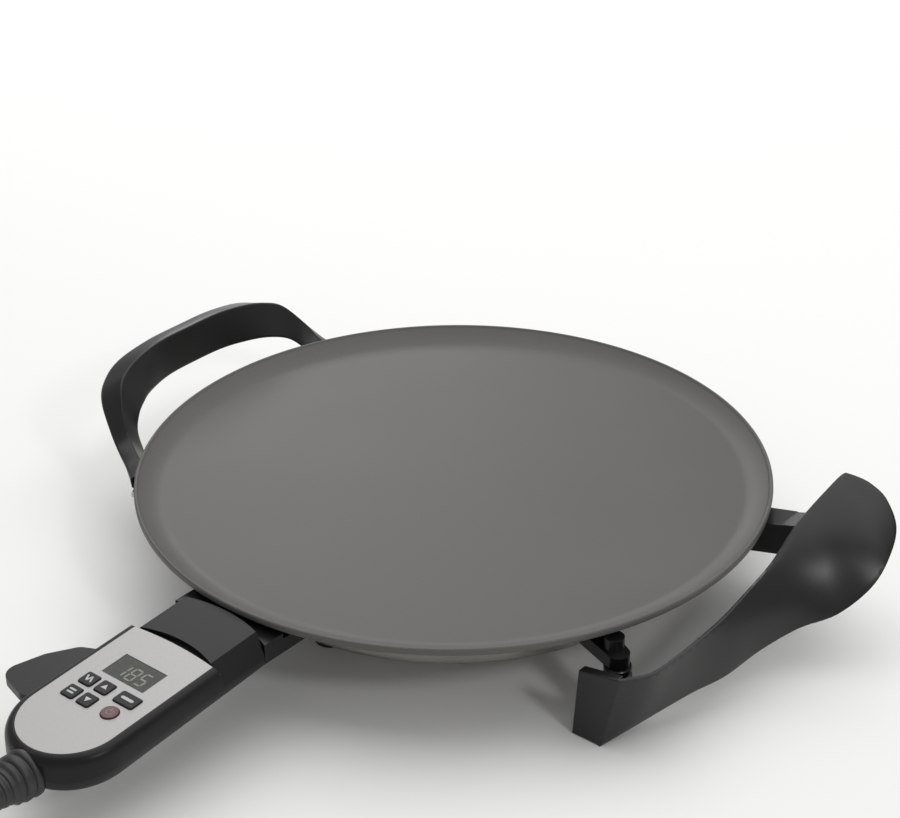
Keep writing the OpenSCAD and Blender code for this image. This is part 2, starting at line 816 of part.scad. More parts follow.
module lever_pocket(grow) {
    translate([-ctrl_hw - 5, lever_pin_at[1] - lever_reach - 2 - grow, lever_pocket_z - grow])
        cube([23 + grow, lever_reach + 9 + 2 * grow, lever_pocket_h + 2 * grow]);
}

module controller_base() {
    color("#2d2d2d")
    difference() {
        union() {
            difference() {
                ctrl_form(0);
                ctrl_form(ctrl_wall);
                above_split(0);
            }
            difference() {
                intersection() {
                    ctrl_form(0);
                    lever_pocket(1.6);
                }
                above_split(0);
            }
        }
        lever_pocket(0);
        lever_pin();
        carrier_hole(0);
        relief_hole();
    }
}

module contact_carrier() {
    color("#e0d8c8")
    difference() {
        translate([-carrier_w / 2, -ctrl_r - 7.9, port_z - carrier_h / 2])
            cube([carrier_w, carrier_front + ctrl_r + 7.9, carrier_h]);
        for (side = [-1, 1])
            translate([side * pin_gap / 2, -ctrl_r - 20, port_z]) rotate([-90, 0, 0])
                cylinder(r = tube_out_r, h = 120);
        translate([0, -ctrl_r - 20, port_z]) rotate([-90, 0, 0]) cylinder(r = rod_r, h = 120);
    }
}

module contact_tubes() {
    color("#c8b070")
    for (side = [-1, 1])
        translate([side * pin_gap / 2, -ctrl_r - 12, port_z]) rotate([-90, 0, 0])
            difference() {
                cylinder(r = tube_out_r, h = ctrl_r + 12 + carrier_front - 1);
                translate([0, 0, 4]) cylinder(r = pin_r + 0.3, h = 120);
            }
}

module sensor_rod() {
    rod_tip = -pan_r + 48;
    color("#c9c7c2")
    translate([0, -ctrl_r - 14, port_z]) rotate([-90, 0, 0])
        cylinder(r = rod_r, h = rod_tip + ctrl_r + 14);
}

module front_panel() {
    color("#cfcecb")
    difference() {
        on_face() translate([0, 0, -panel_t]) linear_extrude(panel_t) panel_plan(0);
        on_face() translate([0, lcd_y, -5]) linear_extrude(10) square([lcd_w, lcd_h], center = true);
        for (name = key_names)
            on_face() translate([0, 0, -5]) linear_extrude(10) key_plan(name, key_clear);
    }
}

module display_window() {
    color("#565a52")
    on_face() translate([-lcd_w / 2, lcd_y - lcd_h / 2, -panel_t]) cube([lcd_w, lcd_h, panel_t - 0.3]);
}

module display_module() {
    color("#3c4a3c")
    on_face() translate([-lcd_w / 2 + 1.4, lcd_y - lcd_h / 2 + 1.4, -board_depth])
        cube([lcd_w - 2.8, lcd_h - 2.8, board_depth - panel_t - 0.1]);
}

module circuit_board() {
    color("#2f6b3c")
    on_face() translate([-board_w / 2, -72, -board_depth - board_t]) cube([board_w, 68, board_t]);
}

module key_switches() {
    color("#1f1f1f")
    for (x = [col_a, col_b, col_c], y = [row_a, row_b])
        on_face() translate([x, y, -board_depth]) {
            translate([-2.6, -2.6, 0]) cube([5.2, 5.2, 2.4]);
            cylinder(r = 1.5, h = board_depth - panel_t - 2.6 - key_travel - 0.1);
        }
}

module relay() {
    color("#d8d4c4")
    on_face() translate([-12, -26, -board_depth - board_t - relay_h]) cube([28, 18, relay_h]);
}

module cord_clamp() {
    color("#3a3a3a")
    translate([-9, relief_y + 3, relief_z - 2])
        difference() {
            cube([18, 6, 7]);
            for (side = [-1, 1])
                translate([9 + side * 3, -1, 4]) rotate([-90, 0, 0]) cylinder(r = 1.3, h = 8);
        }
}

module housing_screws() {
    color("#8f8d88")
    for (x = [-18, 18], y = [-ctrl_r - 12, end_y])
        translate([0, -ctrl_r, base_front_z]) rotate([base_tilt, 0, 0]) translate([x, y + ctrl_r, 0])
            mirror([0, 0, 1]) cylinder(r = 3, h = 1.2);
}

module up_key() { color("#3c3c3e") key_solid("up"); }
module down_key() { color("#3c3c3e") key_solid("down"); }
module mode_key() { color("#3c3c3e") key_solid("mode"); }
module set_key() { color("#3c3c3e") key_solid("set"); }
module timer_key() { color("#3c3c3e") key_solid("timer"); }
module power_key() { color("#6b3a3e") key_solid("power"); }

// Flat lever that swings on a pin in a side pocket of the base
module release_lever() {
    color("#2d2d2d")
    translate([lever_pin_at[0], lever_pin_at[1], lever_z])
        difference() {
            linear_extrude(lever_t)
                difference() {
                    hull() {
                        circle(4.6);
                        translate([-19, -13]) circle(8);
                        translate([-25.5, -27]) circle(9.5);
                        translate([-29.5, -42]) circle(9.5);
                        translate([-17, -47]) circle(8);
                        translate([-6, -42]) circle(6);
                    }
                    circle(lever_pin_r + lever_clear);
                }
            translate([0, 0, lever_t - 1.6]) cylinder(r = 4, h = 3);
        }
}

module lever_pin() {
    color("#c9c7c2")
    translate([lever_pin_at[0], lever_pin_at[1], lever_pocket_z - 1.6])
        cylinder(r = lever_pin_r, h = lever_pocket_h + 1.6 + 0.8);
}

module lever_spring() {
    color("#c9c7c2")
    translate([lever_pin_at[0], lever_pin_at[1], lever_z + lever_t - 1.1])
        rotate_extrude() translate([3, 0]) circle(0.4, $fn = 24);
}

// ---------- cord ----------

module strain_relief() {
    head_l = relief_l * 0.28;
    color("#262626")
    translate([0, relief_y, relief_z]) rotate([90, 0, 0]) {
        cylinder(r1 = relief_r, r2 = relief_r * 0.88, h = head_l);
        translate([0, 0, head_l - eps])
            cylinder(r1 = relief_r * 0.8, r2 = cord_r + 1.2, h = relief_l - head_l + eps);
    }
}

module supply_wires() {
    color("#4a6a9a")
    for (side = [-1, 1])
        translate([side * 3, relief_y, relief_z + 2]) rotate([-90, 0, 0]) cylinder(r = 1.3, h = 34);
}

module power_cord() {
    color("#1f1f1f") tube_along(lead_points, cord_r, 12);
}

module cord_coil() {
    color("#1f1f1f")
    translate([coil_at[0], coil_at[1], table_z])
        rotate_extrude()
            translate([coil_in, 0]) square([coil_out - coil_in, coil_h]);
}

module cord_tail() {
    color("#1f1f1f") tube_along(tail_points, cord_r, 12);
}

module plug_body() {
    front = plug_at[1] + plug_neck + plug_l;
    color("#1f1f1f")
    union() {
        translate(plug_at) rotate([-90, 0, 0]) cylinder(r1 = cord_r + 1.2, r2 = 7.5, h = plug_neck + 4);
        hull()
            for (end = [0, 1])
                translate([plug_at[0], front - plug_l * (1 - end), plug_at[2]])
                    rotate([end ? 90 : -90, 0, 0])
                    for (x = [-1, 1])
                        translate([x * (plug_w - plug_h) / 2, 0, 0])
                            cylinder(r1 = plug_h / 2 - 2, r2 = plug_h / 2, h = 5, $fn = 32);
    }
}

module plug_blades() {
    color("#c8b070")
    for (side = [-1, 1])
        translate([
            plug_at[0] + side * blade_gap / 2 - blade_t / 2,
            plug_at[1] + plug_neck + plug_l,
            plug_at[2] - blade_w / 2
        ])
            cube([blade_t, blade_l, blade_w]);
}

griddle_plate();
base_pan();
heating_ring();
element_clamps();
clamp_screws();
centre_stud();
centre_nut();
heat_shield();
terminal_block();
terminal_pins();
sensor_sleeve();
socket_guard();
guard_screws();
pan_feet();
foot_pads();
foot_screws();
leg_handle();
leg_arm_near();
leg_arm_far();
leg_handle_screws();
loop_handle();
loop_brackets();
loop_handle_screws();
controller_cover();
controller_base();
contact_carrier();
contact_tubes();
sensor_rod();
front_panel();
display_window();
display_module();
circuit_board();
key_switches();
relay();
cord_clamp();
housing_screws();
up_key();
down_key();
mode_key();
set_key();
timer_key();
power_key();
release_lever();
lever_pin();
lever_spring();
supply_wires();
strain_relief();
power_cord();
cord_coil();
cord_tail();
plug_body();
plug_blades();
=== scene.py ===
import json
import math
import bmesh
import bpy
from mathutils import Matrix, Vector


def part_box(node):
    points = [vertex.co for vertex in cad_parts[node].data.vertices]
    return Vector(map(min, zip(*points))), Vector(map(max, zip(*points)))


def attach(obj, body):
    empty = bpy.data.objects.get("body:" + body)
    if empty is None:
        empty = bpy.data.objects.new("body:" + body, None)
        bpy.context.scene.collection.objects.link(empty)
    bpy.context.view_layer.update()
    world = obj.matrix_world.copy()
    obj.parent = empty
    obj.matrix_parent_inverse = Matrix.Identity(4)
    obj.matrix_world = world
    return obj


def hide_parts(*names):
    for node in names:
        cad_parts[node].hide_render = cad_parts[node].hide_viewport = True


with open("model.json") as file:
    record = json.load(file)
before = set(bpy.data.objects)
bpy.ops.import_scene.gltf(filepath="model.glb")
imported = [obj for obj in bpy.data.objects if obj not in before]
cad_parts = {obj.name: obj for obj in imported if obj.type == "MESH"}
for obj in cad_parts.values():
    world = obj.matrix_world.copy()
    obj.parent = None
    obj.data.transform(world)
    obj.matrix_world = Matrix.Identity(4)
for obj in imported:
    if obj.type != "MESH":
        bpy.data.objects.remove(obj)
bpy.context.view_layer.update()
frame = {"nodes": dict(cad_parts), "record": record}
nodes = frame["nodes"]
record = frame["record"]
bodyOf = {node: body for body, members in record["behaviour"]["bodies"].items() for node in members}
slotOf = {part["node"]: part["material_slot"] for part in record["subparts"]}
mm = 0.001
scene = bpy.context.scene

# camera
camera = {
    "azimuth": 40.0,  # degrees round the griddle from its -Y side
    "elevation": 30.283,
    "distance": 1272.2,  # from the middle of the rim
    "aimHeight": 7.0,
    "lens": 85.0,
    "sensor": 36.0,
    "farLimit": 50.0,  # metres
    "pitch": 1.534,  # small turns after aiming at the rim's centre
    "yaw": 0.072,
    "roll": -0.59,
}


def placeCamera(values):
    azimuth = math.radians(values["azimuth"])
    elevation = math.radians(values["elevation"])
    flat = math.cos(elevation)
    toward = Vector((math.sin(azimuth) * flat, -math.cos(azimuth) * flat, math.sin(elevation)))
    data = bpy.data.cameras.new("studioCamera")
    data.lens = values["lens"]
    data.sensor_width = values["sensor"]
    data.clip_end = values["farLimit"]
    eye = bpy.data.objects.new("studioCamera", data)
    spot = Vector((0, 0, values["aimHeight"])) * mm + toward * values["distance"] * mm
    turn = Matrix.Rotation(azimuth, 4, "Z") @ Matrix.Rotation(math.pi / 2 - elevation, 4, "X")
    for angle, axis in ((values["pitch"], "X"), (values["yaw"], "Y"), (values["roll"], "Z")):
        turn = turn @ Matrix.Rotation(math.radians(angle), 4, axis)
    eye.matrix_world = Matrix.Translation(spot) @ turn
    scene.collection.objects.link(eye)
    scene.camera = eye


placeCamera(camera)
print("camera placed")


# helpers for materials
def hexColour(code):
    channels = [int(code[i:i + 2], 16) / 255 for i in (1, 3, 5)]
    return tuple(c / 12.92 if c <= 0.04045 else ((c + 0.055) / 1.055) ** 2.4 for c in channels) + (1.0,)


def addNode(tree, kind, inputs=None, **settings):
    node = tree.nodes.new(kind)
    for name, value in settings.items():
        setattr(node, name, value)
    for name, value in (inputs or {}).items():
        if isinstance(value, bpy.types.NodeSocket):
            tree.links.new(value, node.inputs[name])
        else:
            node.inputs[name].default_value = value
    return node


def startMaterial(name, colour, roughness, metallic=0.0, ior=None, coat=None, specular=0.5):
    material = bpy.data.materials.new(name)
    material.use_nodes = True
    tree = material.node_tree
    shader = tree.nodes["Principled BSDF"]
    shader.inputs["Base Color"].default_value = hexColour(colour)
    shader.inputs["Roughness"].default_value = roughness
    shader.inputs["Metallic"].default_value = metallic
    shader.inputs["Specular IOR Level"].default_value = specular
    if ior:
        shader.inputs["IOR"].default_value = ior
    if coat:
        shader.inputs["Coat Weight"].default_value = coat[0]
        shader.inputs["Coat Roughness"].default_value = coat[1]
    return material, tree, shader


def grainOf(tree, grainMm, detail=2.0, stretch=(1, 1, 1)):
    # noise whose grains are grainMm across, on the piece's own place in metres
    place = addNode(tree, "ShaderNodeTexCoord")
    mapped = addNode(tree, "ShaderNodeMapping", {"Vector": place.outputs["Object"], "Scale": stretch})
    return addNode(tree, "ShaderNodeTexNoise",
                   {"Vector": mapped.outputs["Vector"], "Scale": 1 / (grainMm * mm), "Detail": detail})


def mixColours(tree, factor, dark, light):
    return addNode(tree, "ShaderNodeMix", {"Factor": factor, "A": hexColour(dark), "B": hexColour(light)},
                   data_type="RGBA")


def spread(tree, value, low, high, fromLow=0.3, fromHigh=0.7):
    return addNode(tree, "ShaderNodeMapRange", {
        "Value": value, "From Min": fromLow, "From Max": fromHigh, "To Min": low, "To Max": high})


def bumpFrom(tree, shader, height, depthMm, strength=1.0):
    bump = addNode(tree, "ShaderNodeBump", {"Height": height, "Distance": depthMm * mm, "Strength": strength})
    tree.links.new(bump.outputs["Normal"], shader.inputs["Normal"])


def colourSocket(mix):
    return next(s for s in mix.outputs if s.type == "RGBA")


def addGrain(tree, shader, colours, grainMm, roughness, depthMm, stretch=(1, 1, 1), cloudMm=60.0):
    # broad clouds vary the colour, fine grain sets the gloss and the bump
    cloud = grainOf(tree, cloudMm, 3.0)
    fine = grainOf(tree, grainMm, 2.0, stretch)
    both = addNode(tree, "ShaderNodeMath", {0: cloud.outputs["Fac"], 1: fine.outputs["Fac"]}, operation="ADD")
    half = addNode(tree, "ShaderNodeMath", {0: both.outputs[0], 1: 0.5}, operation="MULTIPLY")
    tint = mixColours(tree, spread(tree, half.outputs[0], 0, 1).outputs[0], *colours)
    tree.links.new(colourSocket(tint), shader.inputs["Base Color"])
    gloss = spread(tree, half.outputs[0], *roughness)
    tree.links.new(gloss.outputs[0], shader.inputs["Roughness"])
    bumpFrom(tree, shader, fine.outputs["Fac"], depthMm)


def ptfeCoating():
    # sprayed non-stick PTFE on cast aluminium: a dull warm grey skin with a very fine orange peel
    material, tree, shader = startMaterial("sprayedPtfe", "#565553", 0.5, ior=1.38)
    addGrain(tree, shader, ("#525150", "#5d5c59"), 0.9, (0.44, 0.56), 0.006, cloudMm=90.0)
    return material


def phenolicMoulding():
    # compression moulded phenolic: near black, satin, with faint flow clouds
    material, tree, shader = startMaterial("mouldedPhenolic", "#171717", 0.34, ior=1.5, specular=0.4)
    addGrain(tree, shader, ("#141414", "#1b1b1a"), 0.7, (0.28, 0.38), 0.004)
    return material


def absMoulding():
    # injection moulded ABS with a light spark-eroded grain
    material, tree, shader = startMaterial("mouldedAbs", "#181819", 0.36, ior=1.5, specular=0.22)
    addGrain(tree, shader, ("#151516", "#1d1d1e"), 0.5, (0.3, 0.42), 0.005)
    return material


def spunSteel():
    # deep drawn stainless steel, polished on a lathe: fine rings round the wall
    material, tree, shader = startMaterial("spunSteel", "#b9b6b0", 0.3, 1.0)
    addGrain(tree, shader, ("#aaa7a1", "#c6c3bd"), 6.0, (0.22, 0.38), 0.003, stretch=(0.3, 0.3, 22.0))
    return material


def sheathSteel():
    # oxidised steel sheath of a heating tube: darkened by heat, dull
    material, tree, shader = startMaterial("sheathSteel", "#6f6a62", 0.45, 1.0)
    addGrain(tree, shader, ("#5c5750", "#7d7870"), 3.0, (0.38, 0.55), 0.01)
    return material


def castAluminium():
    # pressure die-cast aluminium: pale and slightly grainy
    material, tree, shader = startMaterial("castAluminium", "#b6b4b0", 0.42, 1.0)
    addGrain(tree, shader, ("#a9a7a3", "#c2c0bc"), 0.8, (0.36, 0.5), 0.01)
    return material


def zincPlate():
    # bright zinc plated steel screws and springs: bluish white with a soft gloss
    material, tree, shader = startMaterial("zincPlate", "#b9bbbd", 0.26, 1.0)
    addGrain(tree, shader, ("#adafb2", "#c6c8ca"), 1.2, (0.2, 0.34), 0.002, cloudMm=12.0)
    return material


def pressedCeramic():
    # pressed steatite, unglazed: chalky cream
    material, tree, shader = startMaterial("pressedCeramic", "#ddd5c4", 0.7, ior=1.6)
    addGrain(tree, shader, ("#d5ccba", "#e4dccc"), 0.6, (0.62, 0.8), 0.01)
    return material


def nickelBrass():
    # nickel-plated brass pins and blades: warm white metal with drawn lines
    material, tree, shader = startMaterial("nickelBrass", "#c9b98c", 0.28, 1.0)
    addGrain(tree, shader, ("#bfae80", "#d2c399"), 1.5, (0.22, 0.36), 0.002, stretch=(3.0, 0.3, 3.0))
    return material


def siliconePad():
    # moulded silicone rubber: soft, matt
    material, tree, shader = startMaterial("siliconePad", "#2e2e2e", 0.75, ior=1.41)
    addGrain(tree, shader, ("#2a2a2a", "#343434"), 0.8, (0.68, 0.82), 0.01)
    return material


def silverLacquer():
    # polycarbonate overlay sprayed with silver lacquer: fine flakes under a satin coat
    material, tree, shader = startMaterial("silverLacquer", "#aaa9a7", 0.42, 0.35, coat=(0.1, 0.3))
    place = addNode(tree, "ShaderNodeTexCoord")
    flakeMm = 0.35
    flakes = addNode(tree, "ShaderNodeTexVoronoi", {
        "Vector": place.outputs["Object"], "Scale": 1 / (flakeMm * mm)})
    shade = spread(tree, flakes.outputs["Distance"], 0, 1, 0, 0.9)
    tint = mixColours(tree, shade.outputs[0], "#b1b0ae", "#a09f9d")
    tree.links.new(colourSocket(tint), shader.inputs["Base Color"])
    bumpFrom(tree, shader, flakes.outputs["Distance"], 0.004, 0.4)
    return material


def displayGlass():
    # tinted PMMA window over a reflective liquid crystal: dark grey green, glossy
    material, tree, shader = startMaterial("displayGlass", "#373935", 0.24, ior=1.49, specular=0.3)
    addGrain(tree, shader, ("#31332f", "#3e403b"), 2.5, (0.2, 0.3), 0.001, cloudMm=14.0)
    return material


def segmentInk():
    # liquid crystal segments: faint pale grey green
    material, tree, shader = startMaterial("segmentInk", "#85887d", 0.4, specular=0.3)
    addGrain(tree, shader, ("#7b7e74", "#909388"), 1.0, (0.35, 0.45), 0.001)
    return material


def epoxyBoard():
    # glass epoxy board under green solder mask
    material, tree, shader = startMaterial("epoxyBoard", "#2c6238", 0.35, ior=1.55)
    addGrain(tree, shader, ("#285a33", "#336e40"), 0.6, (0.3, 0.42), 0.004)
    return material


def keyRubber():
    # silicone keys with a hard matt lacquer
    material, tree, shader = startMaterial("keyRubber", "#2b2b2d", 0.5, ior=1.45, specular=0.25)
    addGrain(tree, shader, ("#262628", "#323234"), 0.5, (0.44, 0.58), 0.004)
    return material


def keyInk():
    # pad-printed pale grey ink, slightly uneven
    material, tree, shader = startMaterial("keyInk", "#b9bab6", 0.55)
    addGrain(tree, shader, ("#acada9", "#c4c5c1"), 0.6, (0.5, 0.62), 0.002, cloudMm=3.0)
    return material


def powerKeyPlastic():
    # translucent red cap of the power key, dull when unlit
    material, tree, shader = startMaterial("powerKeyPlastic", "#522a2e", 0.34, ior=1.49, coat=(0.2, 0.15))
    addGrain(tree, shader, ("#4a2529", "#5f3236"), 1.2, (0.28, 0.4), 0.002, cloudMm=6.0)
    return material


def relayCase():
    # pale polyester case
    material, tree, shader = startMaterial("relayCase", "#d4cfbd", 0.35, ior=1.57)
    addGrain(tree, shader, ("#ccc7b4", "#dcd8c8"), 0.8, (0.3, 0.42), 0.003)
    return material


def wireSleeve():
    # PVC sleeve of a single wire
    material, tree, shader = startMaterial("wireSleeve", "#3f63a0", 0.4, ior=1.53)
    addGrain(tree, shader, ("#395b95", "#4870b0"), 0.8, (0.35, 0.46), 0.003)
    return material


def pvcSheath():
    # soft PVC cord sheath, slightly rubbery, with a faint extrusion texture
    material, tree, shader = startMaterial("pvcSheath", "#242424", 0.46, ior=1.53)
    addGrain(tree, shader, ("#202020", "#2b2b2b"), 0.8, (0.4, 0.54), 0.008)
    return material


finishes = {
    "nonstick_coating": ptfeCoating(),
    "steel_sheet": spunSteel(),
    "heater_steel": sheathSteel(),
    "aluminium_fittings": castAluminium(),
    "steel_hardware": zincPlate(),
    "phenolic": phenolicMoulding(),
    "ceramic": pressedCeramic(),
    "brass_contacts": nickelBrass(),
    "soft_pads": siliconePad(),
    "controller_plastic": absMoulding(),
    "silver_panel": silverLacquer(),
    "display_window": displayGlass(),
    "display_module": displayGlass(),
    "board": epoxyBoard(),
    "switch_plastic": absMoulding(),
    "relay_case": relayCase(),
    "key_plastic": keyRubber(),
    "power_key_plastic": powerKeyPlastic(),
    "wire": wireSleeve(),
    "cord_rubber": pvcSheath(),
}
ink = keyInk()
segments = segmentInk()
for nodeName, nodeObject in nodes.items():
    nodeObject.data.materials.clear()
    nodeObject.data.materials.append(finishes[slotOf[nodeName]])
print("materials made:", len(finishes) + 2)


# helpers for pieces
def tidyMesh(mesh, sharpAngle, merge=0.002):
    shape = bmesh.new()
    shape.from_mesh(mesh)
    bmesh.ops.remove_doubles(shape, verts=shape.verts, dist=merge * mm)
    bmesh.ops.recalc_face_normals(shape, faces=shape.faces)
    shape.to_mesh(mesh)
    shape.free()
    mesh.shade_smooth()
    mesh.set_sharp_from_angle(angle=math.radians(sharpAngle))


def settle(piece, node, replaced=(), sharpAngle=40):
    # bakes the modifiers into a plain mesh and hangs the piece on the CAD node's body
    if piece.modifiers:
        bpy.context.view_layer.update()
        reach = bpy.context.evaluated_depsgraph_get()
        plain = bpy.data.meshes.new_from_object(piece.evaluated_get(reach))
        weighted = "flats" in piece.modifiers
        piece.modifiers.clear()
        piece.data = plain
        if not weighted:
            plain.shade_smooth()
            plain.set_sharp_from_angle(angle=math.radians(sharpAngle))
    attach(piece, bodyOf[node])
    if replaced:
        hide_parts(*replaced)
    return piece


def meshPiece(name, points, faces, material, sharpAngle=40):
    mesh = bpy.data.meshes.new(name)
    mesh.from_pydata([Vector(p) * mm for p in points], [], faces)
    tidyMesh(mesh, sharpAngle)
    mesh.materials.append(material)
    piece = bpy.data.objects.new(name, mesh)
    scene.collection.objects.link(piece)
    return piece


def addBevel(piece, width, segmentCount=2, angle=35):
    bevel = piece.modifiers.new("edges", "BEVEL")
    bevel.width = width * mm
    bevel.segments = segmentCount
    bevel.limit_method = "ANGLE"
    bevel.angle_limit = math.radians(angle)
    bevel.harden_normals = True


def loft(rings):
    # quads between closed rings of equal, even length; the end caps are strips across the ring
    count = len(rings[0])
    points = [p for ring in rings for p in ring]
    faces = []
    for i in range(len(rings) - 1):
        for k in range(count):
            m = (k + 1) % count
            faces.append((i * count + k, i * count + m, (i + 1) * count + m, (i + 1) * count + k))
    for base in (0, (len(rings) - 1) * count):
        for k in range(count // 2 - 1):
            faces.append((base + k, base + k + 1, base + count - 2 - k, base + count - 1 - k))
    return points, faces


def curveBlend(a, b, c, d, t):
    # smooth curve through b and c, for numbers or for nested lists of them
    if isinstance(b, (list, tuple)):
        return [curveBlend(*each, t) for each in zip(a, b, c, d)]
    square, cube = 2 * a - 5 * b + 4 * c - d, 3 * b - a - 3 * c + d
    return 0.5 * (2 * b + (c - a) * t + square * t * t + cube * t ** 3)


def smoothList(stations, steps):
    last = len(stations) - 1
    result = []
    for i in range(last):
        around = [stations[max(0, min(last, j))] for j in (i - 1, i, i + 1, i + 2)]
        for k in range(steps):
            result.append(curveBlend(*around, k / steps))
    result.append(curveBlend(*[stations[j] for j in (last - 1, last, last, last)], 0))
    return result


def finishedCopy(node, bevelMm=0.35, segmentCount=2, bevelAngle=35, sharpAngle=35, name=None):
    # the CAD shape with its loose triangles joined, its flats made whole and its edges eased
    mesh = nodes[node].data.copy()
    shape = bmesh.new()
    shape.from_mesh(mesh)
    bmesh.ops.remove_doubles(shape, verts=shape.verts, dist=0.003 * mm)
    bmesh.ops.dissolve_limit(shape, angle_limit=math.radians(0.6), verts=shape.verts, edges=shape.edges)
    shape.to_mesh(mesh)
    shape.free()
    mesh.shade_smooth()
    mesh.set_sharp_from_angle(angle=math.radians(sharpAngle))
    piece = bpy.data.objects.new(name or node + "_finished", mesh)
    scene.collection.objects.link(piece)
    if bevelMm:
        addBevel(piece, bevelMm, segmentCount, bevelAngle)
        flats = piece.modifiers.new("flats", "WEIGHTED_NORMAL")
        flats.keep_sharp = True
    return settle(piece, node, [node], sharpAngle=sharpAngle)


def hullPiece(name, points, material, bevelMm, node):
    # the convex skin round a few points, with eased edges
    mesh = bpy.data.meshes.new(name)
    shape = bmesh.new()
    for p in points:
        shape.verts.new(Vector(p) * mm)
    bmesh.ops.convex_hull(shape, input=shape.verts)
    loose = [v for v in shape.verts if not v.link_faces]
    bmesh.ops.delete(shape, geom=loose, context="VERTS")
    bmesh.ops.dissolve_limit(shape, angle_limit=math.radians(1), verts=shape.verts, edges=shape.edges)
    bmesh.ops.recalc_face_normals(shape, faces=shape.faces)
    shape.to_mesh(mesh)
    shape.free()
    mesh.shade_smooth()
    mesh.set_sharp_from_angle(angle=math.radians(40))
    mesh.materials.append(material)
    piece = bpy.data.objects.new(name, mesh)
    scene.collection.objects.link(piece)
    addBevel(piece, bevelMm, 3, 40)
    piece.modifiers.new("flats", "WEIGHTED_NORMAL")
    return settle(piece, node)


# cord
cord = {
    "diameter": 7.0,
    "lead": [(0, -385, -18), (0, -393, -18), (0, -401, -18.5), (0, -410, -20.5), (0, -418, -25),
             (0, -426, -31.5), (0, -434, -39.5), (0, -442, -46.5), (0, -451, -51.5), (0, -461, -54),
             (0, -471, -54.5), (0, -480, -54.5)],
    "coilCentre": (-42, -488),
    "tail": [(-80.5, -480, -47.8), (-80.5, -474, -47.5), (-80.5, -466, -47.5), (-80.5, -458, -48.6),
             (-80.5, -450, -49.5)],
    # turns of the coil, clockwise from above: degrees wound, radius, height
    "coil": [(0, 42, -54.5), (285, 42, -54.5), (348, 35, -54.5), (590, 35, -54.5), (650, 35, -47.5),
             (710, 38.5, -47.5), (760, 38.5, -48.4), (900, 38.5, -48.4)],
    "stepDegrees": 15,
    "stepsBetween": 4,
    "roundness": 5,
}


def coilPoint(wound, values):
    stations = values["coil"]
    after = max(1, next(i for i, s in enumerate(stations) if s[0] >= wound))
    last, following = stations[after - 1], stations[after]
    share = (wound - last[0]) / (following[0] - last[0])
    share = share * share * (3 - 2 * share)
    radius, height = (last[i] + (following[i] - last[i]) * share for i in (1, 2))
    angle = math.radians(-wound)
    centre = values["coilCentre"]
    return (centre[0] + radius * math.cos(angle), centre[1] + radius * math.sin(angle), height)


def cordRoute(values):
    coil = [coilPoint(wound, values) for wound in range(0, values["coil"][-1][0] + 1, values["stepDegrees"])]
    rough = [list(p) for p in values["lead"] + coil + values["tail"]]
    return smoothList(rough, values["stepsBetween"])


def makeCord(values):
    route = [Vector(p) * mm for p in cordRoute(values)]
    data = bpy.data.curves.new("powerLead", "CURVE")
    data.dimensions = "3D"
    data.bevel_depth = values["diameter"] / 2 * mm
    data.bevel_resolution = values["roundness"]
    data.use_fill_caps = True
    spline = data.splines.new("POLY")
    spline.points.add(len(route) - 1)
    for spot, target in zip(spline.points, route):
        spot.co = (*target, 1.0)
    data.materials.append(finishes["cord_rubber"])
    piece = bpy.data.objects.new("powerLead", data)
    scene.collection.objects.link(piece)
    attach(piece, bodyOf["power_cord"])
    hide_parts("power_cord", "cord_coil", "cord_tail")
    length = sum((b - a).length for a, b in zip(route, route[1:]))
    print("cord length", round(length, 3))
    return piece, route[0], length


powerLead, leadExit, leadLength = makeCord(cord)
plugBody = finishedCopy("plug_body", 0.8, 3, name="plugMoulding")
plugBlades = finishedCopy("plug_blades", 0.3, name="plugBladePair")
print("cord and plug made")


